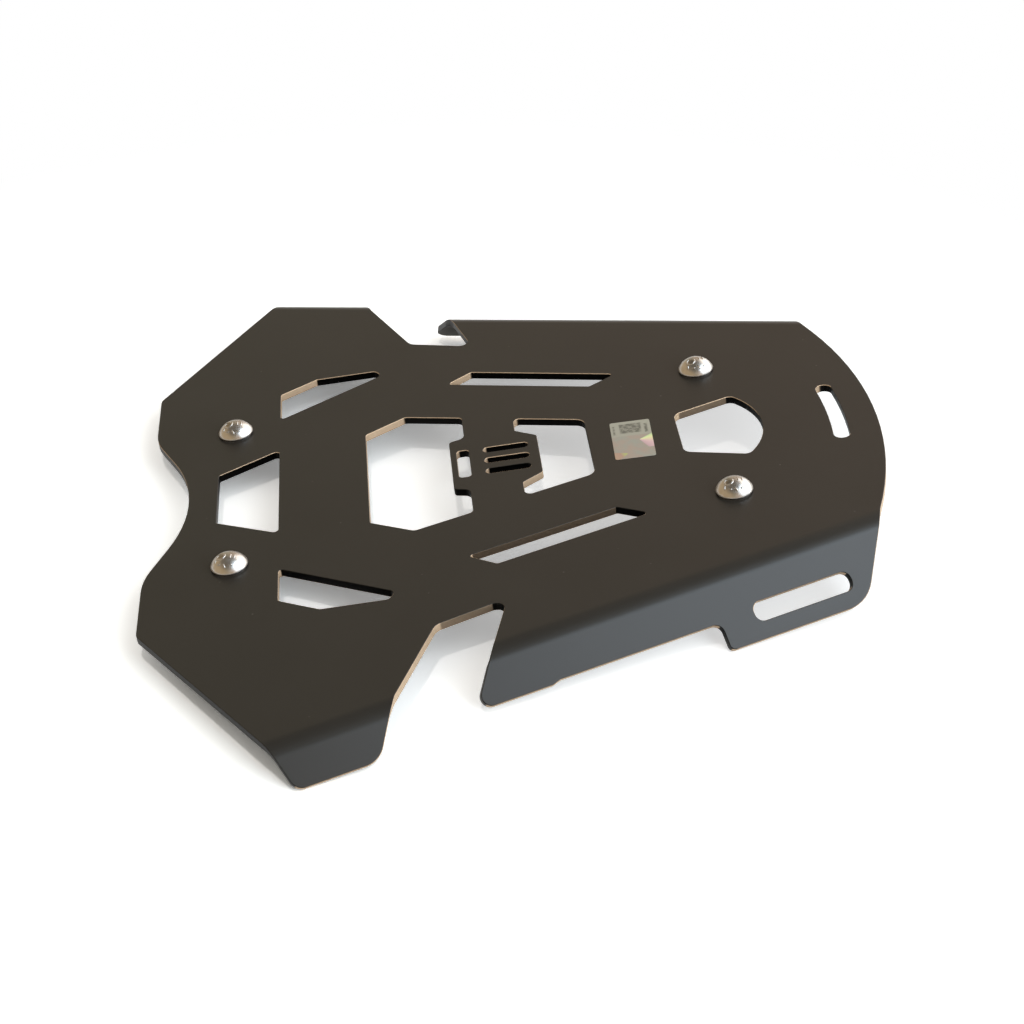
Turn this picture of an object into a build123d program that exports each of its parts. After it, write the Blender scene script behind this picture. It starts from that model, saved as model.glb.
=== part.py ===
from build123d import *
from math import atan2, cos, hypot, pi, radians, sin, sqrt, tan
import os

os.makedirs("parts", exist_ok=True)

# Driving dimensions, all lengths in millimetres.
# Frame: +X towards the tail end, +Y to the right hand side seen by the rider,
# +Z up. The origin is the middle of the four screws, on the deck underside.

# Sheet and folds
sheet = 3.0                # sheet thickness
bend_inner = 8.0           # inside radius of every fold
fold_angle = 45.0          # how far the flanges turn down
fold_taper = 18.0          # plan angle of the fold lines to the length
rear_fold_y = 108.9        # where the rear fold starts, at fold_x
ear_fold_y = 119.9         # where the ear fold starts, at fold_x
fold_x = 15.0              # station at which both fold lines are measured

# Screws
screw_x = 90.0             # half of the distance between front and rear pair
front_screw_y = 47.0       # half spacing of the front pair
rear_screw_y = 45.1        # half spacing of the rear pair
screw_hole_d = 8.6
screw_d = 8.0
screw_length = 10.0
head_d = 13.4
head_h = 5.2               # crown of the dome above the deck
head_rim = 0.3             # straight edge under the dome
shoulder_d = 11.8          # smaller seat between the head and the deck
shoulder_h = 0.7
neck_d = 7.2               # plain neck under the head, thinner than the thread
neck_length = 3.2
tip_chamfer = 1.0

# Deck outline, right hand half, as x, y and corner radius
front_x = -121.2           # front edge beside the middle recess
front_middle = (-99.7, 0.0, 74.0)
front_shoulder = (front_x, 48.5, 31.0)
front_corner = (front_x, 82.0, 5.0)
ear_front_slope = 1.56     # y per x of the slanted front edge of an ear
ear_back = (-34.5, 136.0)  # where the back edge of an ear reaches its fold
notch_outer = (-19.6, 100.6, 5.0)
notch_inner = (5.2, 91.2, 3.0)
wing_front = (-0.8, 114.0) # where the front edge of a wing reaches its fold
tail_x = 149.5             # middle of the curved tail edge
tail_radius = 195.0

# Flange outlines. Stations run along the fold line from fold_x, depths run
# down the flange from the line where deck and flange would meet unbent.
ear_depth = 15.6
ear_front_lean = 0.26
ear_back_lean = -0.62
ear_front_r = 4.5
ear_back_r = 8.0
wing_depth = 16.6
wing_heel_depth = 17.5     # slightly deeper front end of the rear flange
wing_heel_end = -1.0
wing_heel_ramp = 3.0
wing_front_lean = -0.69
wing_front_r = 3.5
tab_front = 57.2
tab_depth = 26.5
tab_front_r = 2.0
tab_inner_r = 3.0
wing_back_lean = -0.62
wing_back_r = 13.0
strap_slot_from = 69.6
strap_slot_to = 106.4
strap_slot_top = 13.7
strap_slot_bottom = 20.5
strap_slot_r = 3.0

# Openings in the deck, as x, y and corner radius of their right hand half
front_hole = [(-95.8, 16.6, 1.2), (-72.9, 29.3, 1.5)]
front_slot = [(-72.6, 53.0, 1.2), (-32.2, 77.4, 2.2), (-34.6, 81.5, 2.0),
              (-58.2, 81.5, 1.0), (-72.6, 72.8, 1.0)]
rear_slot = [(-6.4, 62.1, 1.0), (48.0, 44.5, 1.0), (59.0, 51.3, 1.2),
             (3.6, 69.3, 1.5)]
centre_front_x = -39.6     # straight front edge of the centre opening
centre_front_y = 31.4
centre_wide = (-24.0, 40.8, 2.5)
centre_back = (43.3, 19.7, 4.5)
bridge_from = -2.5         # crossing strap that splits the centre opening
bridge_to = 16.9
bridge_corner_r = 3.0
badge_from = -8.4          # plain badge in the middle of that strap
badge_to = 24.7
badge_front_y = 16.9
badge_waist_y = 18.8
badge_back_y = 13.4
badge_corner_r = 1.6
badge_bar_x = -3.7         # cross slot at the front of the badge
badge_bar_l = 19.0
badge_bar_w = 4.6
badge_slot_x = 12.4        # middle of its three lengthwise slots
badge_slot_l = 16.8
badge_slot_w = 3.6
badge_slot_pitch = 7.6
rear_hole_front = (76.8, 13.7, 3.5)
rear_hole_back_x = 107.8
rear_hole_back_r = 32.0
rear_hole_side = 0.345     # y per x of its slanted sides
rear_hole_corner_r = 3.0
tail_slot_from = 132.2     # curved strap slot near the tail edge
tail_slot_to = 138.1
tail_slot_half = 19.8

# Foil label
label_l = 15.0
label_w = 26.6
label_x = 59.4
label_turn = -1.7
label_r = 0.9
label_t = 0.15

overlap = 10.0             # how far a cutting shape runs past what it cuts

bend_outer = bend_inner + sheet
taper = tan(radians(fold_taper))
arc_run = bend_outer * radians(fold_angle)
set_back = bend_outer * tan(radians(fold_angle) / 2)


def fold_y(x, y0):
    # Lateral place of a fold start line at station x.
    return y0 - taper * (x - fold_x)


def meet(p, d, y0):
    # Point where the line through p with direction d crosses a fold line.
    t = (fold_y(p[0], y0) - p[1]) / (d[1] + taper * d[0])
    return (p[0] + t * d[0], p[1] + t * d[1])


def rounded(points):
    # Closed outline of straight edges with an arc at each corner radius.
    n = len(points)
    ends = []
    for i in range(n):
        x, y, r = points[i]
        px, py, _ = points[i - 1]
        qx, qy, _ = points[(i + 1) % n]
        a = (px - x, py - y)
        b = (qx - x, qy - y)
        la, lb = hypot(*a), hypot(*b)
        a = (a[0] / la, a[1] / la)
        b = (b[0] / lb, b[1] / lb)
        if r <= 0:
            ends.append(((x, y), None, (x, y)))
            continue
        half = abs(atan2(a[0] * b[1] - a[1] * b[0], a[0] * b[0] + a[1] * b[1])) / 2
        run = r / tan(half)
        bx, by = a[0] + b[0], a[1] + b[1]
        lm = hypot(bx, by)
        reach = r / sin(half) - r
        mid = (x + bx / lm * reach, y + by / lm * reach)
        ends.append(((x + a[0] * run, y + a[1] * run), mid,
                     (x + b[0] * run, y + b[1] * run)))
    edges = []
    for i in range(n):
        start, mid, stop = ends[i]
        if mid is not None:
            edges.append(ThreePointArc(start, mid, stop))
        nxt = ends[(i + 1) % n][0]
        if hypot(nxt[0] - stop[0], nxt[1] - stop[1]) > 1e-6:
            edges.append(Line(stop, nxt))
    return make_face(edges)


def both(half):
    # The right hand points followed by their mirror images.
    return half + [(x, -y, r) for x, y, r in reversed(half)]


def cut_through(face):
    return extrude(Pos(0, 0, -1) * face, sheet + 2)


# Deck: flat part of the sheet up to the fold start lines
ear_front = meet(front_corner[:2], (1.0, ear_front_slope), ear_fold_y)
ear_back = meet(notch_outer[:2], (ear_back[0] - notch_outer[0],
                                  ear_back[1] - notch_outer[1]), ear_fold_y)
wing_front = meet(notch_inner[:2], (wing_front[0] - notch_inner[0],
                                    wing_front[1] - notch_inner[1]), rear_fold_y)
tail_centre = tail_x - tail_radius
wing_back_x = tail_x
for _ in range(40):
    wing_back_x = tail_centre + sqrt(tail_radius ** 2 - fold_y(wing_back_x, rear_fold_y) ** 2)
wing_back = (wing_back_x, fold_y(wing_back_x, rear_fold_y))

half = [front_shoulder, front_corner, (*ear_front, 0), (*ear_back, 0),
        notch_outer, notch_inner, (*wing_front, 0), (*wing_back, 0)]
deck_face = rounded([front_middle] + both(half))
tail_cap = make_face([ThreePointArc((wing_back[0], -wing_back[1]), (tail_x, 0), wing_back),
                      Line(wing_back, (wing_back[0], -wing_back[1]))])
plate = extrude(deck_face + tail_cap, sheet)

# Openings in the deck
holes = [rounded(both(front_hole))]
for side in (1, -1):
    holes.append(rounded([(x, side * y, r) for x, y, r in front_slot]))
    holes.append(rounded([(x, side * y, r) for x, y, r in rear_slot]))

centre = rounded(both([(centre_front_x, centre_front_y, 1.0), centre_wide, centre_back]))
bridge_y = centre_wide[1] + overlap
strap = rounded([
    (bridge_from, -bridge_y, 0), (bridge_from, -badge_waist_y, bridge_corner_r),
    (badge_from, -badge_front_y, badge_corner_r), (badge_from, badge_front_y, badge_corner_r),
    (bridge_from, badge_waist_y, bridge_corner_r), (bridge_from, bridge_y, 0),
    (bridge_to, bridge_y, 0), (bridge_to, badge_waist_y, 0.8),
    (badge_to, badge_back_y, badge_corner_r), (badge_to, -badge_back_y, badge_corner_r),
    (bridge_to, -badge_waist_y, 0.8), (bridge_to, -bridge_y, 0)])
lobes = cut_through(centre) - cut_through(strap)
end_edges = lobes.edges().filter_by(Axis.Z).filter_by(
    lambda e: min(abs(e.center().X - bridge_from), abs(e.center().X - bridge_to)) < 0.01
    and abs(e.center().Y) > badge_waist_y + 3)
lobes = fillet(end_edges, 2.2)

side_y = rear_hole_front[1]
back_centre = rear_hole_back_x - rear_hole_back_r
reach = rear_hole_back_x
for _ in range(60):
    reach = back_centre + sqrt(rear_hole_back_r ** 2
                               - (side_y + rear_hole_side * (reach - rear_hole_front[0])) ** 2)
corner = (reach, side_y + rear_hole_side * (reach - rear_hole_front[0]))
funnel = rounded(both([rear_hole_front,
                      (corner[0] + overlap, corner[1] + overlap * rear_hole_side, 0)]))
rear_hole = extrude(Pos(0, 0, -1) * funnel, sheet + 2) & (
    Pos(back_centre, 0, -1) * Cylinder(rear_hole_back_r, sheet + 2,
                                       align=(Align.CENTER, Align.CENTER, Align.MIN)))
round_edges = rear_hole.edges().filter_by(Axis.Z).filter_by(
    lambda e: abs(e.center().X - corner[0]) < 0.5)
rear_hole = fillet(round_edges, rear_hole_corner_r)

for x, y in ((-screw_x, front_screw_y), (screw_x, rear_screw_y)):
    for side in (1, -1):
        holes.append(Pos(x, side * y) * Circle(screw_hole_d / 2))
holes.append(Pos(badge_bar_x, 0) * RectangleRounded(badge_bar_w, badge_bar_l, badge_bar_w / 3))
for row in (-1, 0, 1):
    holes.append(Pos(badge_slot_x, row * badge_slot_pitch)
                 * SlotOverall(badge_slot_l, badge_slot_w))

slot_r = (tail_slot_to - tail_slot_from) / 2
slot_arc = tail_radius - (tail_x - (tail_slot_from + tail_slot_to) / 2)
slot_turn = (tail_slot_half - slot_r) / slot_arc * 180 / pi
tail_slot = Pos(tail_centre, 0) * SlotArc(
    CenterArc((0, 0), slot_arc, -slot_turn, 2 * slot_turn), 2 * slot_r)
holes.append(tail_slot)

for face in holes:
    plate -= cut_through(face)
plate -= lobes
plate -= rear_hole


def along(x, y, y0):
    # Station along a fold line of a point on its start line.
    return (x - fold_x) * cos(radians(fold_taper)) - (y - y0) * sin(radians(fold_taper))


def bend(y0, u_front, lean_front, u_back, lean_back):
    # Curved part of one fold, with its two ends leaning along the sheet.
    origin = (fold_x, y0, sheet - bend_outer)
    frame = Plane(origin, x_dir=(0, 0, 1),
                  z_dir=(-cos(radians(fold_taper)), sin(radians(fold_taper)), 0))
    big = bend_outer + overlap
    ring = Circle(bend_outer) - Circle(bend_inner)
    wedge = make_face([
        Line((0, 0), (big, 0)),
        Line((big, 0), (big * cos(radians(fold_angle)), big * sin(radians(fold_angle)))),
        Line((big * cos(radians(fold_angle)), big * sin(radians(fold_angle))), (0, 0))])
    low = min(u_front, u_front + lean_front * arc_run) - overlap
    high = max(u_back, u_back + lean_back * arc_run) + overlap
    # local x is up, local y is outwards and local z runs against the stations
    blank = extrude(frame * (Pos(0, 0, -high) * (ring & wedge)), high - low)
    sections = []
    steps = 6
    for i in range(-1, steps + 2):
        turn = radians(fold_angle) * i / steps
        run = bend_outer * turn
        radial = Plane(origin,
                       x_dir=(cos(radians(fold_taper)), -sin(radians(fold_taper)), 0),
                       z_dir=frame.x_dir * -sin(turn) + frame.y_dir * cos(turn))
        a, b = u_front + lean_front * run, u_back + lean_back * run
        s = -1.0 if radial.y_dir.dot(frame.x_dir * cos(turn) + frame.y_dir * sin(turn)) < 0 else 1.0
        r0, r1 = s * (bend_inner - 2), s * (bend_outer + 2)
        sections.append(radial * Polyline((a, r0), (b, r0), (b, r1), (a, r1), close=True))
    body = Solid.make_loft([Wire(s.edges()) for s in sections])
    return blank & body


def flange(y0, points, openings=()):
    # Flat part of one flange. Points are station, depth and corner radius.
    t = radians(fold_angle)
    c, s = cos(radians(fold_taper)), sin(radians(fold_taper))
    out = Vector(s, c, 0)
    down = out * cos(t) + Vector(0, 0, -sin(t))
    normal = out * sin(t) + Vector(0, 0, cos(t))
    corner_line = Vector(fold_x, y0, sheet) + out * set_back
    frame = Plane(corner_line, x_dir=(c, -s, 0), z_dir=normal)
    flip = 1.0 if frame.y_dir.dot(down) > 0 else -1.0
    face = rounded([(u, flip * d, r) for u, d, r in points])
    for o in openings:
        face -= rounded([(u, flip * d, r) for u, d, r in o])
    return extrude(frame * face, -sheet)


start = set_back

# Ear flange
u0 = along(*ear_front, ear_fold_y)
u1 = along(*ear_back, ear_fold_y)
e0 = u0 + ear_front_lean * arc_run
e1 = u1 + ear_back_lean * arc_run
ear_bend = bend(ear_fold_y, u0, ear_front_lean, u1, ear_back_lean)
ear = flange(ear_fold_y, [
    (e0, start, 0),
    (e0 + ear_front_lean * (ear_depth - start), ear_depth, ear_front_r),
    (e1 + ear_back_lean * (ear_depth - start), ear_depth, ear_back_r),
    (e1, start, 0)])

# Rear flange with its deeper tab and strap slot
u0 = along(*wing_front, rear_fold_y)
u1 = along(*wing_back, rear_fold_y)
w0 = u0 + wing_front_lean * arc_run
w1 = u1 + wing_back_lean * arc_run
wing_bend = bend(rear_fold_y, u0, wing_front_lean, u1, wing_back_lean)
wing = flange(rear_fold_y, [
    (w0, start, 0),
    (w0 + wing_front_lean * (wing_heel_depth - start), wing_heel_depth, wing_front_r),
    (wing_heel_end - wing_heel_ramp, wing_heel_depth, 1.0),
    (wing_heel_end, wing_depth, 1.0),
    (tab_front, wing_depth, tab_inner_r),
    (tab_front, tab_depth, tab_front_r),
    (w1 + wing_back_lean * (tab_depth - start), tab_depth, wing_back_r),
    (w1, start, 0)],
    [[(strap_slot_from, strap_slot_top, strap_slot_r),
      (strap_slot_to, strap_slot_top, strap_slot_r),
      (strap_slot_to, strap_slot_bottom, strap_slot_r),
      (strap_slot_from, strap_slot_bottom, strap_slot_r)]])

for piece in (ear_bend, ear, wing_bend, wing):
    plate += piece
    plate += mirror(piece, about=Plane.XZ)
if len(plate.solids()) != 1:
    raise ValueError("the folded sheet must be one solid")
export_step(plate.solids()[0], "parts/mounting_plate.step")

# Plain dome head screw standing on z = 0, without any drive in its crown
rise = head_h - head_rim - shoulder_h
dome_r = ((head_d / 2) ** 2 + rise ** 2) / (2 * rise)
half_turn = atan2(head_d / 2, dome_r - rise) / 2
dome_mid = (dome_r * sin(half_turn), head_h - dome_r + dome_r * cos(half_turn))
outline = [(0, -screw_length), (screw_d / 2 - tip_chamfer, -screw_length),
           (screw_d / 2, -screw_length + tip_chamfer), (screw_d / 2, -neck_length),
           (neck_d / 2, -neck_length), (neck_d / 2, 0), (shoulder_d / 2, 0),
           (shoulder_d / 2, shoulder_h), (head_d / 2, shoulder_h),
           (head_d / 2, shoulder_h + head_rim)]
edges = [Line(a, b) for a, b in zip(outline, outline[1:])]
edges.append(ThreePointArc(outline[-1], dome_mid, (0, head_h)))
edges.append(Line((0, head_h), outline[0]))
screw = revolve(Plane.XZ * make_face(edges), Axis.Z)
places = {"front_left_screw": (-screw_x, -front_screw_y),
          "front_right_screw": (-screw_x, front_screw_y),
          "rear_left_screw": (screw_x, -rear_screw_y),
          "rear_right_screw": (screw_x, rear_screw_y)}
for name, (x, y) in places.items():
    piece = Pos(x, y, sheet) * screw
    export_step(piece.solids()[0], f"parts/{name}.step")

# Foil label stuck flat on the deck
label = extrude(RectangleRounded(label_l, label_w, label_r), label_t)
label = Pos(label_x, 0, sheet) * Rot(0, 0, label_turn) * label
export_step(label.solids()[0], "parts/foil_label.step")
print("plate box", plate.bounding_box())
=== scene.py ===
# %% [markdown]
# The object is a mounting plate that carries a top case behind a motorcycle seat.
# It is one sheet of metal, cut, folded down at both sides and coated black.
# Four dome head screws hold it to the rack, and a foil label is stuck on it.
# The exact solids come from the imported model, so the lesson starts by loading it.
# Everything after that is finish, light and camera.

# %% Load the solids
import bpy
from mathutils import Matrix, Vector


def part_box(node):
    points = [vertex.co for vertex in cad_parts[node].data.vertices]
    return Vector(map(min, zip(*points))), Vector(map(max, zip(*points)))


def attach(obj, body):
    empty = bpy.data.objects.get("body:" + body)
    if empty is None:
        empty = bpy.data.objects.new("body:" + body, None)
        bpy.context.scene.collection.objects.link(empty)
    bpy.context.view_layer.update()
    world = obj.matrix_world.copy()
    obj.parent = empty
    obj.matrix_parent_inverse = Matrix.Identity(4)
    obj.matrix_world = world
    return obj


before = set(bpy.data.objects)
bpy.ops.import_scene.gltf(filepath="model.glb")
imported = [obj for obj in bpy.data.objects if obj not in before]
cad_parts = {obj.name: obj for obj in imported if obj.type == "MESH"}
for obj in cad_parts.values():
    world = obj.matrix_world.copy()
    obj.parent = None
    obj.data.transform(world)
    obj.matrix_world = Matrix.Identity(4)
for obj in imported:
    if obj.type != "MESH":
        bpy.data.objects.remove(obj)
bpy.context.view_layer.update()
print("solids:", sorted(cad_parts))

# %% Modules used below
from math import radians, sin, cos, pi, sqrt
import bmesh
import bpy
from mathutils import Matrix, Vector

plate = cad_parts["mounting_plate"]
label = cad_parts["foil_label"]
screws = [o for name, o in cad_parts.items() if name.endswith("_screw")]
print("screws:", len(screws))

# %% [markdown]
# Sheet that has been cut and coated has no knife edges: each rim is slightly round.
# That thin round is what catches the light along every opening, so it matters.
# The mesh of a solid is not edited here; modifiers work on a copy of it.
# Weld joins the loose corners, Decimate merges the flat triangles, Bevel rounds the
# rims and Weighted Normal keeps the large flat faces looking flat. Triangulate then
# splits those large faces into well shaped triangles, because slivers would show as
# thin lines.

# %% Round the rims of the sheet
sheet_rim = 0.00028
screw_rim = 0.00010
label_rim = 0.00004
rim_angle = 38
flat_angle = 0.6
corner_reach = 0.00001

def soften_rims(part, width):
    weld = part.modifiers.new("join_corners", "WELD")
    weld.merge_threshold = corner_reach
    flatten = part.modifiers.new("merge_flat_triangles", "DECIMATE")
    flatten.decimate_type = "DISSOLVE"
    flatten.angle_limit = radians(flat_angle)
    rim = part.modifiers.new("round_rims", "BEVEL")
    rim.width = width
    rim.segments = 2
    rim.limit_method = "ANGLE"
    rim.angle_limit = radians(rim_angle)
    rim.use_clamp_overlap = False
    rim.loop_slide = False
    flat = part.modifiers.new("keep_faces_flat", "WEIGHTED_NORMAL")
    flat.keep_sharp = False
    facets = part.modifiers.new("split_large_faces", "TRIANGULATE")
    facets.ngon_method = "BEAUTY"
    facets.min_vertices = 5
    facets.keep_custom_normals = True
    print(part.name, "rims rounded by", round(width * 1000, 2), "mm")

soften_rims(plate, sheet_rim)
for screw in screws:
    soften_rims(screw, screw_rim)
soften_rims(label, label_rim)

# %% [markdown]
# Every finish below is built from nodes, so small helpers keep the cells short.
# One makes a material, empties it and adds the shader and the output. One sets a
# socket to a value or a link, one adds a node with its settings, one adds a
# calculation, one adds a noise and one blends two colours.

# %% Helpers for node materials
def new_finish(name):
    finish = bpy.data.materials.new(name)
    finish.use_nodes = True
    tree = finish.node_tree
    tree.nodes.clear()
    shader = tree.nodes.new("ShaderNodeBsdfPrincipled")
    out = tree.nodes.new("ShaderNodeOutputMaterial")
    tree.links.new(shader.outputs[0], out.inputs["Surface"])
    return finish, tree, shader

def set_socket(tree, socket, value):
    if isinstance(value, bpy.types.NodeSocket):
        tree.links.new(value, socket)
    else:
        socket.default_value = value

def add_node(tree, kind, values=(), **settings):
    node = tree.nodes.new("ShaderNode" + kind)
    for key, value in settings.items():
        setattr(node, key, value)
    for i, value in enumerate(values):
        if value is not None:
            set_socket(tree, node.inputs[i], value)
    return node

def calc(tree, operation, *values):
    return add_node(tree, "Math", values, operation=operation).outputs[0]

def noise(tree, here, scale, detail, roughness):
    return add_node(tree, "TexNoise", [here, None, scale, detail, roughness]).outputs[0]

def blend_colours(tree, amount, low, high):
    node = add_node(tree, "Mix", data_type="RGBA")
    for i, value in ((0, amount), (6, low), (7, high)):
        set_socket(tree, node.inputs[i], value)
    return node.outputs[2]

print("helpers ready")

# %% [markdown]
# The coat is a satin black powder with a touch of brown.
# Close up it has a very fine tooth and a few grains of dust, so a fine noise drives
# a low bump and the roughness, and a large slow noise shifts the tone a little.
# A picture of a coat could do the same, but noise has no seams on a folded sheet.
# The cut walls of the sheet are black too. Walls that face the tail, away from the front hole, get a
# painted highlight: they are coloured as bright tan metal for the window light they catch. The lower
# rim of each flange gets the same painted highlight, a thin bright line.
# A black wall is made as dark metal, because that keeps it dark beside a white floor.
# A wall is told from a face by its normal: the faces look up or down, or along
# the 45 degree flanges, and everything else is a cut.

# %% Find the cut walls by their normal
fold_plan = radians(18)
front_hole_end = -0.0732
front_hole_blur = 0.0006
wall_limit = 0.60
lower_rim_limit = -0.22
tail_facing = (0.20, 0.50)

def cut_wall_mask(tree, coords):
    normal = add_node(tree, "SeparateXYZ", [coords.outputs["Normal"]])
    place = add_node(tree, "SeparateXYZ", [coords.outputs["Object"]])
    side = calc(tree, "SIGN", place.outputs[1])
    out_y = calc(tree, "MULTIPLY", calc(tree, "MULTIPLY", normal.outputs[1], side), cos(fold_plan))
    outward = calc(tree, "MULTIPLY_ADD", normal.outputs[0], sin(fold_plan), out_y)
    level = calc(tree, "ABSOLUTE", normal.outputs[2])
    upright = calc(tree, "LESS_THAN", level, wall_limit)
    under = calc(tree, "MULTIPLY", outward, normal.outputs[2])
    lower_rim = calc(tree, "LESS_THAN", under, lower_rim_limit)
    cut = calc(tree, "MAXIMUM", upright, lower_rim)
    to_tail = add_node(tree, "MapRange", [normal.outputs[0], *tail_facing]).outputs[0]
    behind = add_node(tree, "MapRange", [place.outputs[0], front_hole_end - front_hole_blur,
                                         front_hole_end]).outputs[0]
    # Painted highlight: this mask picks the walls facing the tail, away from the front hole, and the
    # lower rims of the flanges
    lit_side = calc(tree, "MAXIMUM", calc(tree, "MULTIPLY", to_tail, behind), lower_rim)
    return cut, calc(tree, "MULTIPLY", cut, lit_side)

print("tan walls start", round(front_hole_end * 1000, 1), "mm along the plate")

# %% A few grains of dust
dust_per_metre = 27.0
dust_radius = 0.00042
dust_core = 0.4
dust_strength = 0.6

def dust_mask(tree, here):
    grains = add_node(tree, "TexVoronoi", voronoi_dimensions="2D")
    tree.links.new(here, grains.inputs["Vector"])
    grains.inputs["Scale"].default_value = dust_per_metre
    reach = dust_radius * dust_per_metre
    spot = add_node(tree, "MapRange", [grains.outputs["Distance"], reach, reach * dust_core]).outputs[0]
    strength = add_node(tree, "SeparateXYZ", [grains.outputs["Color"]]).outputs[0]
    return calc(tree, "MULTIPLY", spot, calc(tree, "MULTIPLY", strength, dust_strength))

print("one grain in each", round(1000 / dust_per_metre), "mm")

# %% Black coat of the sheet
coat_tones = ((0.0172, 0.0154, 0.0130, 1), (0.0240, 0.0214, 0.0182, 1))
dust_tone = (0.16, 0.15, 0.135, 1)
wall_tone = (0.010, 0.0095, 0.009, 1)
# Painted highlight: bright tan for the walls lit by the windows
lit_wall_tones = ((0.52, 0.37, 0.24, 1), (0.62, 0.46, 0.32, 1))
lit_wall_metallic = 0.4
tooth_depth = 0.00003
tooth_share = 0.6
# Each roughness is the swing of its noise and the least value
coat_rough = (0.10, 0.27)
lit_wall_rough = (0.10, 0.42)

def black_coat():
    finish, tree, shader = new_finish("satin_black_coat")
    coords = add_node(tree, "TexCoord")
    here = coords.outputs["Object"]
    slow = noise(tree, here, 22.0, 3.0, 0.5)
    grain = noise(tree, here, 2600.0, 2.0, 0.6)
    tooth = noise(tree, here, 900.0, 2.0, 0.5)
    tone = blend_colours(tree, slow, *coat_tones)
    cut, lit_wall = cut_wall_mask(tree, coords)
    tone = blend_colours(tree, dust_mask(tree, here), tone, dust_tone)
    coated = blend_colours(tree, cut, tone, wall_tone)
    # Painted highlight: tan metal colour on the walls lit by the windows
    lit_metal = blend_colours(tree, tooth, *lit_wall_tones)
    tree.links.new(blend_colours(tree, lit_wall, coated, lit_metal), shader.inputs["Base Color"])
    satin = calc(tree, "MULTIPLY_ADD", grain, *coat_rough)
    polish = calc(tree, "MULTIPLY_ADD", tooth, *lit_wall_rough)
    gloss = add_node(tree, "Mix", [lit_wall, None, satin, polish], data_type="FLOAT")
    tree.links.new(gloss.outputs[0], shader.inputs["Roughness"])
    tree.links.new(calc(tree, "MULTIPLY_ADD", lit_wall, lit_wall_metallic - 1, cut), shader.inputs["Metallic"])
    height = calc(tree, "MULTIPLY_ADD", tooth, tooth_share, grain)
    bump = add_node(tree, "Bump")
    bump.inputs["Strength"].default_value = 0.12
    bump.inputs["Distance"].default_value = tooth_depth
    tree.links.new(height, bump.inputs["Height"])
    tree.links.new(bump.outputs[0], shader.inputs["Normal"])
    return finish

def dress(part, finish):
    part.data.materials.clear()
    part.data.materials.append(finish)

dress(plate, black_coat())
print("plate wears", plate.data.materials[0].name)

# %% [markdown]
# The screws are plain stainless domes without a drive.
# They are pressed and tumbled, so the metal is bright but soft, with faint dents.
# Each dome has a small pressed ring, and painted shade darkens the colour inside the ring.
# Their shanks carry an M8 thread, which a wave along the axis shows: it turns
# once around the shank for each pitch of 1.25 mm. A thread cut in the mesh would
# take thousands of faces, for a place that the deck hides in most views.

# %% Rings pressed into the domes
ring_radius = 0.00150
ring_centre = (-0.0021, -0.0008)
bar_centres = ((0.0014, -0.0007), (0.0028, -0.0005))
first_turn = -12
turn_step = 9

def turn_of(screw):
    return radians(first_turn + turn_step * screws.index(screw))

def ring_mask(tree, screw, across, along):
    c, s = cos(turn_of(screw)), sin(turn_of(screw))
    x, y = ring_centre
    dx = calc(tree, "SUBTRACT", across, c * x - s * y)
    dy = calc(tree, "SUBTRACT", along, s * x + c * y)
    away = calc(tree, "SQRT", calc(tree, "ADD", calc(tree, "MULTIPLY", dx, dx),
                                   calc(tree, "MULTIPLY", dy, dy)))
    return add_node(tree, "MapRange", [away, ring_radius * 0.9, ring_radius * 0.5]).outputs[0]

print("ring", ring_radius * 1000, "mm in radius")

# %% Stainless of the screws
thread_pitch = 0.00125
shank_top = -0.0002
steel_tones = ((0.58, 0.55, 0.50, 1), (0.80, 0.78, 0.75, 1))
# Painted shade: the dark tone laid inside each pressed ring
ring_shade_tone = (0.14, 0.11, 0.08, 1)
ring_shade_strength = 0.6
steel_rough = (0.12, 0.26)
dent_depth = 0.00005
thread_strength = 4.0

def stainless(part):
    low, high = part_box(part.name)
    middle = (low + high) / 2
    finish, tree, shader = new_finish(part.name + "_stainless")
    coords = add_node(tree, "TexCoord")
    here = add_node(tree, "VectorMath", [coords.outputs["Object"], tuple(middle)],
                    operation="SUBTRACT").outputs[0]
    parts = add_node(tree, "SeparateXYZ", [here])
    place = add_node(tree, "SeparateXYZ", [coords.outputs["Object"]])
    turn = calc(tree, "ARCTAN2", parts.outputs[1], parts.outputs[0])
    climb = calc(tree, "MULTIPLY_ADD", parts.outputs[2], 2 * pi / thread_pitch, turn)
    on_shank = calc(tree, "LESS_THAN", place.outputs[2], shank_top)
    groove = calc(tree, "MULTIPLY", calc(tree, "SINE", climb), on_shank)
    dents = noise(tree, here, 420.0, 2.0, 0.5)
    tone = blend_colours(tree, dents, *steel_tones)
    # Painted shade inside the pressed ring, on the domes only
    ring_shade = calc(tree, "MULTIPLY", ring_mask(tree, part, parts.outputs[0], parts.outputs[1]),
                 calc(tree, "GREATER_THAN", place.outputs[2], 0.0))
    tone = blend_colours(tree, calc(tree, "MULTIPLY", ring_shade, ring_shade_strength), tone, ring_shade_tone)
    tree.links.new(tone, shader.inputs["Base Color"])
    shader.inputs["Metallic"].default_value = 1.0
    tree.links.new(calc(tree, "MULTIPLY_ADD", dents, *steel_rough), shader.inputs["Roughness"])
    height = calc(tree, "MULTIPLY_ADD", groove, thread_strength, dents)
    bump = add_node(tree, "Bump")
    bump.inputs["Strength"].default_value = 0.5
    bump.inputs["Distance"].default_value = dent_depth
    tree.links.new(height, bump.inputs["Height"])
    tree.links.new(bump.outputs[0], shader.inputs["Normal"])
    return finish

for screw in screws:
    dress(screw, stainless(screw))
print("screws wear stainless")

# %% [markdown]
# Each dome carries shallow raised marks from the press.
# Here they are a plain ring, two bars and four dashes without any meaning.
# A mark is a low ridge that follows the sphere of the dome. It is built from a path
# across (x) and along (y) the head, which takes far fewer faces than carving would.

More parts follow.
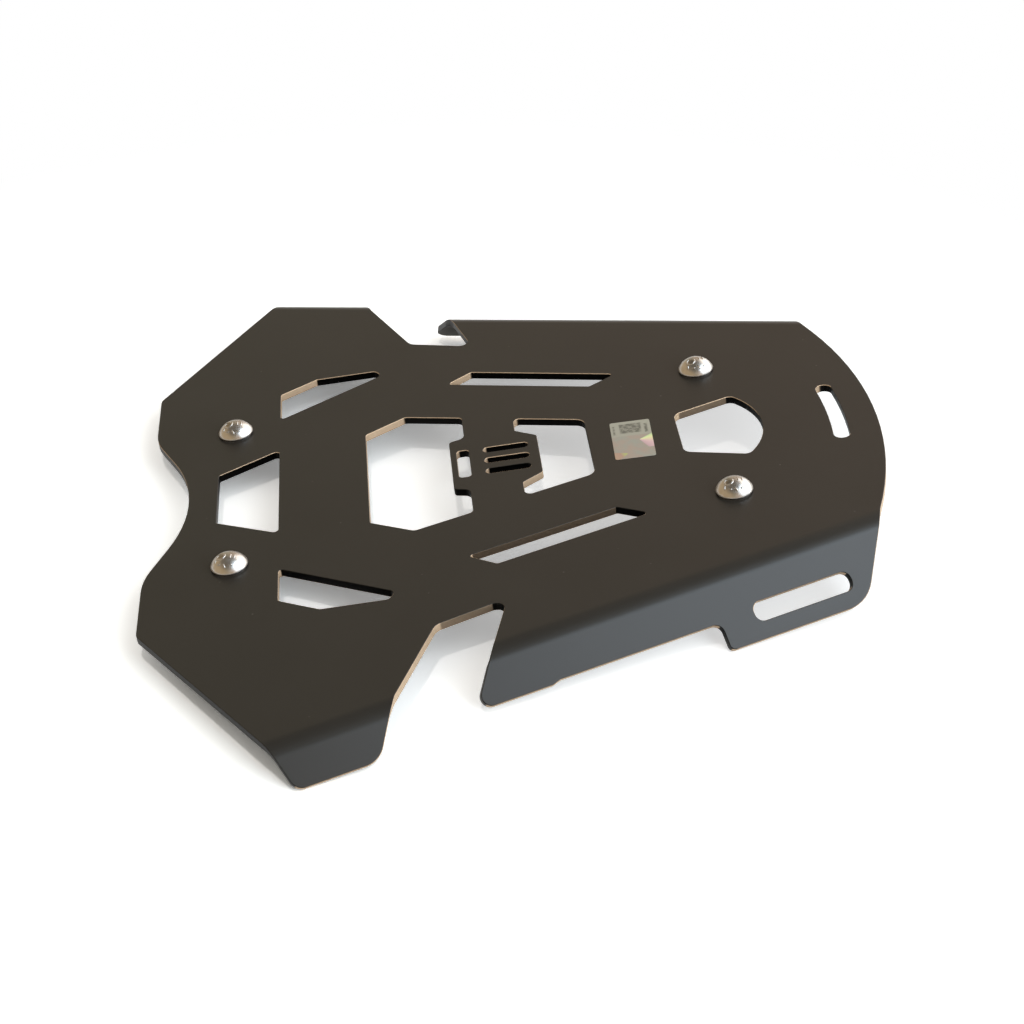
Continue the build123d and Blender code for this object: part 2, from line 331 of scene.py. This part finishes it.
# %% Shape of a dome
dome_rise = 0.0042

def dome_of(screw):
    low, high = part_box(screw.name)
    half = (high.x - low.x) / 2
    radius = (half ** 2 + dome_rise ** 2) / (2 * dome_rise)
    centre = Vector(((low.x + high.x) / 2, (low.y + high.y) / 2, high.z - radius))
    return centre, radius

print("dome radius", round(dome_of(screws[0])[1] * 1000, 2), "mm")

# %% One raised mark
mark_height = 0.00024
mark_width = 0.00086
sunk = -0.35
ridge = ((-1.0, sunk), (-0.45, 0.6), (0.0, 1.0), (0.45, 0.6), (1.0, sunk))

def add_mark(mesh, centre, radius, path, closed):
    spots = []
    for x, y in path:
        up = sqrt(radius ** 2 - x ** 2 - y ** 2)
        spots.append(centre + Vector((x, y, up)))
    rows = []
    count = len(spots)
    for i, spot in enumerate(spots):
        ahead = spots[(i + 1) % count] if closed or i + 1 < count else spot
        behind = spots[i - 1] if closed or i > 0 else spot
        normal = (spot - centre).normalized()
        side = normal.cross(ahead - behind).normalized()
        inner = closed or 0 < i < count - 1
        row = []
        for across, lift in ridge:
            rise = lift if inner else sunk
            row.append(mesh.verts.new(spot + side * across * mark_width / 2
                                      + normal * rise * mark_height))
        rows.append(row)
    for i in range(count if closed else count - 1):
        a, b = rows[i], rows[(i + 1) % count]
        for k in range(4):
            mesh.faces.new((a[k], a[k + 1], b[k + 1], b[k]))
        mesh.faces.new((a[4], a[0], b[0], b[4]))
    if not closed:
        mesh.faces.new(rows[0][::-1])
        mesh.faces.new(rows[-1])

print("a mark is", round(mark_height * 1000, 2), "mm high")

# %% Marks on the four heads
ring_steps = 48
bar_steps = 6
bar_length = 0.0022
dash_angles = (-150, -122, -94, -66)
dash_radius = 0.0047
dash_length = 0.0016

def head_marks(screw):
    centre, radius = dome_of(screw)
    swing = Matrix.Rotation(turn_of(screw), 2)
    steps = [i / bar_steps - 0.5 for i in range(bar_steps + 1)]
    paths = []
    x, y = ring_centre
    paths.append(([(x + ring_radius * cos(a), y + ring_radius * sin(a))
                   for a in [2 * pi * i / ring_steps for i in range(ring_steps)]], True))
    for x, y in bar_centres:
        paths.append(([(x, y + bar_length * step) for step in steps], False))
    for k, angle in enumerate(dash_angles):
        middle = Vector((dash_radius, 0))
        run = Vector((0, 1)) if k % 2 else Vector((0.8, 0.6))
        spin = Matrix.Rotation(radians(angle), 2)
        paths.append(([spin @ (middle + run * dash_length * step) for step in steps], False))
    mesh = bmesh.new()
    for path, closed in paths:
        add_mark(mesh, centre, radius, [swing @ Vector(p) for p in path], closed)
    bmesh.ops.recalc_face_normals(mesh, faces=mesh.faces)
    data = bpy.data.meshes.new(screw.name + "_marks")
    mesh.to_mesh(data)
    mesh.free()
    for face in data.polygons:
        face.use_smooth = True
    marks = bpy.data.objects.new(screw.name + "_marks", data)
    bpy.context.scene.collection.objects.link(marks)
    dress(marks, screw.data.materials[0])
    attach(marks, "root")
    return marks

for screw in screws:
    marks = head_marks(screw)
    print(marks.name, "faces:", len(marks.data.polygons))

# %% [markdown]
# The label is a thin metallised foil with printed fields.
# Its far part carries a darker mottled square between two slim strips.
# Its near part shimmers: a fan of pale yellow, peach and pink opens to one side,
# and a smaller one sits in the opposite corner.
# A picture could hold such fields, but masks worked out from numbers stay sharp at
# any distance. Their numbers are millimetres across (u) and along (v) the label.

# %% Coordinates on the label
label_turn = radians(-1.7)

def label_coords(tree):
    low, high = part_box("foil_label")
    middle = (low + high) / 2
    coords = add_node(tree, "TexCoord")
    local = add_node(tree, "VectorMath", [coords.outputs["Object"], tuple(middle)],
                     operation="SUBTRACT").outputs[0]
    turned = add_node(tree, "VectorRotate", rotation_type="Z_AXIS")
    tree.links.new(local, turned.inputs["Vector"])
    turned.inputs["Angle"].default_value = -label_turn
    mm = add_node(tree, "VectorMath", [turned.outputs[0], (1000, 1000, 0)],
                  operation="MULTIPLY").outputs[0]
    axes = add_node(tree, "SeparateXYZ", [mm])
    return mm, axes.outputs[0], axes.outputs[1]

print("label turned by", round(label_turn * 180 / pi, 1), "degrees")

# %% Masks for printed fields
def ramp01(tree, value, start, stop):
    node = add_node(tree, "MapRange", [value, start, stop], interpolation_type="SMOOTHSTEP")
    return node.outputs[0]

def field(tree, u, v, left, right, near, far, blur=0.35):
    across = calc(tree, "MINIMUM", calc(tree, "SUBTRACT", u, left), calc(tree, "SUBTRACT", right, u))
    along = calc(tree, "MINIMUM", calc(tree, "SUBTRACT", v, near), calc(tree, "SUBTRACT", far, v))
    return ramp01(tree, calc(tree, "MINIMUM", across, along), -blur, blur)

def fan(tree, u, v, apex, facing, spread):
    # Position across a fan of directions, from 0 at one edge to 1 at the other
    du = calc(tree, "SUBTRACT", u, apex[0])
    dv = calc(tree, "SUBTRACT", v, apex[1])
    c, s = cos(radians(facing)), sin(radians(facing))
    ahead = calc(tree, "MULTIPLY_ADD", du, c, calc(tree, "MULTIPLY", dv, s))
    aside = calc(tree, "MULTIPLY_ADD", dv, c, calc(tree, "MULTIPLY", du, -s))
    angle = calc(tree, "ARCTAN2", aside, ahead)
    across = calc(tree, "MULTIPLY_ADD", angle, 1 / radians(2 * spread), 0.5)
    edge = calc(tree, "MINIMUM", across, calc(tree, "SUBTRACT", 1.0, across))
    return across, ramp01(tree, edge, -0.02, 0.05), ahead

def colour_ramp(tree, value, stops):
    node = add_node(tree, "ValToRGB", [value])
    ramp = node.color_ramp
    while len(ramp.elements) < len(stops):
        ramp.elements.new(0.5)
    for element, (position, colour) in zip(ramp.elements, stops):
        element.position = position
        element.color = (*colour, 1)
    return node.outputs[0]

print("masks ready")

# %% Numbers of the printed fields
part_line = (2.2, 3.0)
near_tone = (0.40, 0.345, 0.285, 1)
far_tone = (0.43, 0.42, 0.35, 1)
sheen_tones = ((0.46, 0.36, 0.30, 1), (0.38, 0.40, 0.35, 1))
sheen_share = 0.7
foil_rough = (0.15, 0.34)
# A field is given by its left, right, near and far edge
dark_square = (-4.1, 3.9, 4.7, 11.4)
left_strip = (-6.6, -5.9, 4.0, 10.4)
right_strip = (5.2, 6.3, 4.0, 10.4)
ink_tone = (0.125, 0.120, 0.098, 1)
ink_cover = (0.55, 0.35)
# A fan is given by its point, the way it faces and half its opening in degrees
large_fan = ((2.5, -0.8), -14, 51)
large_fan_foot = (-7.2, -6.6)
large_fan_tones = [(0.0, (0.62, 0.42, 0.44)), (0.35, (0.78, 0.55, 0.55)), (0.58, (0.86, 0.72, 0.50)),
                   (0.80, (0.84, 0.88, 0.46)), (1.0, (0.60, 0.75, 0.40))]
small_fan = ((-2.4, -9.8), 196, 34)
small_fan_tones = [(0.0, (0.50, 0.56, 0.20)), (0.32, (0.50, 0.50, 0.22)), (0.55, (0.50, 0.32, 0.25)),
                   (1.0, (0.52, 0.36, 0.26))]
print("dark square", round(dark_square[1] - dark_square[0], 1), "mm wide")

# %% Foil of the label
def foil():
    finish, tree, shader = new_finish("printed_foil")
    mm, u, v = label_coords(tree)
    blot = noise(tree, mm, 0.62, 2.0, 0.55)
    cloud = noise(tree, mm, 0.20, 3.0, 0.6)
    far_part = ramp01(tree, v, *part_line)
    base = blend_colours(tree, far_part, near_tone, far_tone)
    sheen = blend_colours(tree, ramp01(tree, cloud, 0.35, 0.65), *sheen_tones)
    low_part = calc(tree, "MULTIPLY", calc(tree, "SUBTRACT", 1.0, far_part), sheen_share)
    colour = blend_colours(tree, low_part, base, sheen)
    strips = calc(tree, "MAXIMUM", field(tree, u, v, *left_strip), field(tree, u, v, *right_strip))
    print_on = calc(tree, "MAXIMUM", field(tree, u, v, *dark_square), strips)
    mottle = calc(tree, "MULTIPLY_ADD", ramp01(tree, blot, 0.38, 0.62), *ink_cover)
    colour = blend_colours(tree, calc(tree, "MULTIPLY", print_on, mottle), colour, ink_tone)
    across, inside, ahead = fan(tree, u, v, *large_fan)
    inside = calc(tree, "MULTIPLY", inside, ramp01(tree, v, *large_fan_foot))
    inside = calc(tree, "MULTIPLY", inside, ramp01(tree, ahead, 0.0, 0.4))
    colour = blend_colours(tree, inside, colour, colour_ramp(tree, across, large_fan_tones))
    across, inside, ahead = fan(tree, u, v, *small_fan)
    inside = calc(tree, "MULTIPLY", inside, ramp01(tree, ahead, 0.0, 0.5))
    ember = colour_ramp(tree, calc(tree, "MULTIPLY", ahead, 0.2), small_fan_tones)
    colour = blend_colours(tree, inside, colour, ember)
    tree.links.new(colour, shader.inputs["Base Color"])
    shader.inputs["Metallic"].default_value = 0.25
    tree.links.new(calc(tree, "MULTIPLY_ADD", blot, *foil_rough), shader.inputs["Roughness"])
    return finish

dress(label, foil())
print("label wears", label.data.materials[0].name)

# %% [markdown]
# The plate rests on the tips of its ears and on its two rear tabs.
# These contact points are at different depths, so the floor under it is not
# parallel to the deck: it falls away to the tail by about three degrees.

# %% Floor plane under the contact points
ear_tip = Vector((-0.064, 0.0, -0.01015))
floor_slope = -0.0547
floor_normal = Vector((-floor_slope, 0.0, 1.0)).normalized()
lean = Vector((0, 0, 1)).angle(floor_normal)
print("floor leans", round(lean * 180 / pi, 2), "degrees to the deck")

# %% [markdown]
# The floor is a plain pale sheet. Where the camera or clear plastic sees it, its
# colour is lifted to white, and a share of it is plain white so that shadows stay
# light. That share grows from a fifth under the ears to over half under the tail,
# and it ends outside the near ear, where the photo's shadow is deepest.
# Some way from the object it fades into a white surround, which mirrors show
# too, while the object's shadow stays on it.
# For the light that it throws back on the object it keeps a plain pale colour.

# %% Finish of the floor
pale_floor = (0.82, 0.82, 0.82, 1)
lifted_floor = (1.6, 1.6, 1.6, 1)
fade_from = 0.24
fade_to = 0.38
light_share = (0.2, 0.6)
light_from = -0.05
light_to = 0.09
deep_shadow = (-0.12, -0.15, 0)
deep_radius = (0.045, 0.09)

def white_floor():
    finish = bpy.data.materials.new("white_floor")
    finish.use_nodes = True
    tree = finish.node_tree
    tree.nodes.clear()
    path = add_node(tree, "LightPath")
    direct = calc(tree, "MAXIMUM", path.outputs["Is Camera Ray"], path.outputs["Is Transmission Ray"])
    seen = calc(tree, "MAXIMUM", direct, path.outputs["Is Glossy Ray"])
    pale = blend_colours(tree, direct, pale_floor, lifted_floor)
    sheet = add_node(tree, "BsdfDiffuse")
    tree.links.new(pale, sheet.inputs["Color"])
    coords = add_node(tree, "TexCoord")
    flat = add_node(tree, "VectorMath", [coords.outputs["Object"], (1, 1, 0)], operation="MULTIPLY")
    away = add_node(tree, "VectorMath", [flat.outputs[0]], operation="LENGTH").outputs["Value"]
    fade = add_node(tree, "MapRange", [away, fade_from, fade_to], interpolation_type="SMOOTHSTEP")
    white = add_node(tree, "Emission", [(1, 1, 1, 1), 1.0])
    place = add_node(tree, "NewGeometry").outputs["Position"]
    along = add_node(tree, "SeparateXYZ", [place]).outputs[0]
    share = add_node(tree, "MapRange", [along, light_from, light_to, *light_share]).outputs[0]
    level = add_node(tree, "VectorMath", [place, (1, 1, 0)], operation="MULTIPLY").outputs[0]
    gap = add_node(tree, "VectorMath", [level, deep_shadow], operation="DISTANCE").outputs["Value"]
    clear = add_node(tree, "MapRange", [gap, *deep_radius], interpolation_type="SMOOTHSTEP").outputs[0]
    lift = calc(tree, "MULTIPLY", calc(tree, "MULTIPLY", share, clear), direct)
    amount = calc(tree, "MAXIMUM", calc(tree, "MULTIPLY", seen, fade.outputs[0]), lift)
    mixed = add_node(tree, "MixShader", [amount, sheet.outputs[0], white.outputs[0]])
    out = add_node(tree, "OutputMaterial")
    tree.links.new(mixed.outputs[0], out.inputs["Surface"])
    return finish

print("white share of the floor", light_share)

# %% White floor
floor_size = 8.0
floor_gap = 0.00003

def face_along(thing, direction):
    thing.rotation_mode = "QUATERNION"
    thing.rotation_quaternion = Vector((0, 0, 1)).rotation_difference(direction)

bpy.ops.mesh.primitive_plane_add(size=floor_size)
floor = bpy.context.object
floor.name = "studio_floor"
face_along(floor, floor_normal)
floor.location = ear_tip - floor_normal * floor_gap
floor.data.materials.append(white_floor())
print("floor is", floor_size, "m wide")

# %% [markdown]
# The room gives nearly half of the light, soft and nearly neutral.
# Metal and the satin coat mirror more of it: the white surround low down, warm walls
# above, a darker ceiling, which makes the dark band along each fold, and two windows
# on the right, which make the bluish sheen of the flanges and the bright side of each
# dome. The camera sees the room as plain white.

# %% Directions seen from the object
def towards(azimuth, elevation):
    # Azimuth 0 is the camera's side (-Y) and 90 is the tail's side (+X)
    a, e = radians(azimuth), radians(elevation)
    return Vector((sin(a) * cos(e), -cos(a) * cos(e), sin(e)))

print("the tail lies towards", [round(v) for v in towards(90, 0)])

# %% Mirror image of a window in the room
window_rise = (0.3, 1.4)

def share_along(sky, direction, axis):
    return add_node(sky, "VectorMath", [direction, axis], operation="DOT_PRODUCT").outputs["Value"]

def window_image(sky, direction, azimuth, half_width, top, low_share, colour):
    side = towards(azimuth, 0)
    across = Vector((0, 0, 1)).cross(side)
    ahead = share_along(sky, direction, tuple(side))
    aside = share_along(sky, direction, tuple(across))
    up = share_along(sky, direction, (0, 0, 1))
    ahead = calc(sky, "MAXIMUM", ahead, 0.01)
    width = calc(sky, "ABSOLUTE", calc(sky, "DIVIDE", aside, ahead))
    height = calc(sky, "DIVIDE", up, ahead)
    within = add_node(sky, "MapRange", [width, half_width * 1.15, half_width * 0.85]).outputs[0]
    below = add_node(sky, "MapRange", [height, top * 1.1, top * 0.9]).outputs[0]
    above = calc(sky, "GREATER_THAN", height, 0.0)
    mask = calc(sky, "MULTIPLY", calc(sky, "MULTIPLY", within, below), above)
    rise = add_node(sky, "MapRange", [height, *window_rise, low_share, 1.0]).outputs[0]
    mask = calc(sky, "MULTIPLY", mask, rise)
    image = add_node(sky, "VectorMath", [colour], operation="SCALE")
    sky.links.new(mask, image.inputs["Scale"])
    return image.outputs[0]

print("window image ready")

# %% Walls, ceiling and windows as mirrors show them
surround_edge = (0.03, 0.13)
ceiling_edge = (0.66, 0.82)
wall_tones = [(0.30, (0.48, 0.36, 0.22)), (0.42, (0.36, 0.325, 0.24)), (0.58, (0.51, 0.385, 0.285))]
ceiling_tone = (0.17, 0.15, 0.125, 1)
window_images = ((70, 0.58, 1.71, 0.18, (3.9, 4.7, 5.5)), (118, 0.70, 1.19, 1.0, (1.5, 1.5, 1.5)))

def mirrored_tone(sky):
    direction = add_node(sky, "TexCoord").outputs["Generated"]
    axes = add_node(sky, "SeparateXYZ", [direction])
    above_white = ramp01(sky, axes.outputs[2], *surround_edge)
    under_ceiling = ramp01(sky, axes.outputs[2], *ceiling_edge)
    around = calc(sky, "MULTIPLY_ADD", axes.outputs[0], 0.5, 0.5)
    walls = blend_colours(sky, above_white, (1, 1, 1, 1), colour_ramp(sky, around, wall_tones))
    tone = blend_colours(sky, under_ceiling, walls, ceiling_tone)
    for numbers in window_images:
        image = window_image(sky, direction, *numbers)
        tone = add_node(sky, "VectorMath", [tone, image], operation="ADD").outputs[0]
    return tone

print("window images:", len(window_images))

# %% World
room_tone = (0.46, 0.445, 0.41, 1)

world = bpy.data.worlds.new("studio")
bpy.context.scene.world = world
world.use_nodes = True
sky = world.node_tree
room = sky.nodes["Background"]
room.inputs["Color"].default_value = room_tone
room.inputs["Strength"].default_value = 1.0
mirrored_room = add_node(sky, "Background", [mirrored_tone(sky), 1.0])
surround = add_node(sky, "Background", [(1, 1, 1, 1), 1.0])
path = add_node(sky, "LightPath")
lit = add_node(sky, "MixShader", [path.outputs["Is Glossy Ray"], room.outputs[0],
                                  mirrored_room.outputs[0]])
seen = calc(sky, "MAXIMUM", path.outputs["Is Camera Ray"], path.outputs["Is Transmission Ray"])
shown = add_node(sky, "MixShader", [seen, lit.outputs[0], surround.outputs[0]])
sky.links.new(shown.outputs[0], sky.nodes["World Output"].inputs["Surface"])
print("room tone", room_tone[:3])

# %% [markdown]
# Four lamps give the rest of the light. Three of them stand where daylight comes in
# on the right. A small lamp high above, slightly in front, draws the edge of the
# light on the floor under each opening.
# None of them is mirrored, because the room already holds the image of the windows.

# %% Small lamp high above
def far_lamp(name, azimuth, elevation, angle, strength, colour):
    lamp = bpy.data.lights.new(name, "SUN")
    lamp.energy = strength
    lamp.angle = radians(angle)
    lamp.color = colour
    holder = bpy.data.objects.new(name, lamp)
    bpy.context.scene.collection.objects.link(holder)
    face_along(holder, towards(azimuth, elevation))
    holder.location = towards(azimuth, elevation)
    print(name, "strength", strength)
    return holder

high_lamp = far_lamp("high_lamp", 5, 77, 4, 0.50, (1.0, 0.97, 0.93))
high_lamp.visible_glossy = False

# %% Windows on the right
# Each has its azimuth, distance, width and height, then its watts and its colour
window_lamps = (((58, 1.2, 1.39, 2.05), 18.0, (0.88, 0.95, 1.0)),
                ((38, 1.1, 0.62, 0.62), 7.5, (0.84, 0.94, 1.0)),
                ((118, 1.5, 2.1, 1.79), 7.0, (0.97, 0.99, 1.0)))

def window_lamp(name, azimuth, distance, width, height, watts, colour):
    lamp = bpy.data.lights.new(name, "AREA")
    lamp.shape = "RECTANGLE"
    lamp.size = width
    lamp.size_y = height
    lamp.energy = watts
    lamp.color = colour
    holder = bpy.data.objects.new(name, lamp)
    bpy.context.scene.collection.objects.link(holder)
    side = towards(azimuth, 0)
    across = Vector((0, 0, 1)).cross(side).normalized()
    place = side * distance + Vector((0, 0, height / 2))
    holder.matrix_world = Matrix((
        (across.x, 0, side.x, place.x),
        (across.y, 0, side.y, place.y),
        (0, 1, 0, place.z),
        (0, 0, 0, 1)))
    return holder

for place, watts, colour in window_lamps:
    holder = window_lamp("window_" + str(place[0]), *place, watts, colour)
    holder.visible_glossy = False
    print(holder.name, watts, "W")

# %% [markdown]
# The camera stands where the photographer's did.
# Its place and lens were worked out from the mirrored features of the deck.

# %% Camera
eye = Vector((0.006489, -0.700054, 0.420421))
aim = Vector((0.011189, -0.038042, 0.003))
roll = 7.982
photo_width = 1024
lens_in_pixels = 2200

view = bpy.data.cameras.new("photo_camera")
view.sensor_width = 36.0
view.sensor_fit = "HORIZONTAL"
view.lens = lens_in_pixels / photo_width * 36
view.clip_start = 0.01
camera = bpy.data.objects.new("photo_camera", view)
bpy.context.scene.collection.objects.link(camera)
back = (eye - aim).normalized()
level = Vector((0, 0, 1)).cross(back).normalized()
right = level * cos(radians(roll)) + level.cross(back) * sin(radians(roll))
up = back.cross(right)
camera.matrix_world = Matrix((
    (right.x, up.x, back.x, eye.x),
    (right.y, up.y, back.y, eye.y),
    (right.z, up.z, back.z, eye.z),
    (0, 0, 0, 1)))
bpy.context.scene.camera = camera
bpy.context.scene.view_settings.view_transform = "Standard"
print("right axis", [round(v, 4) for v in right])
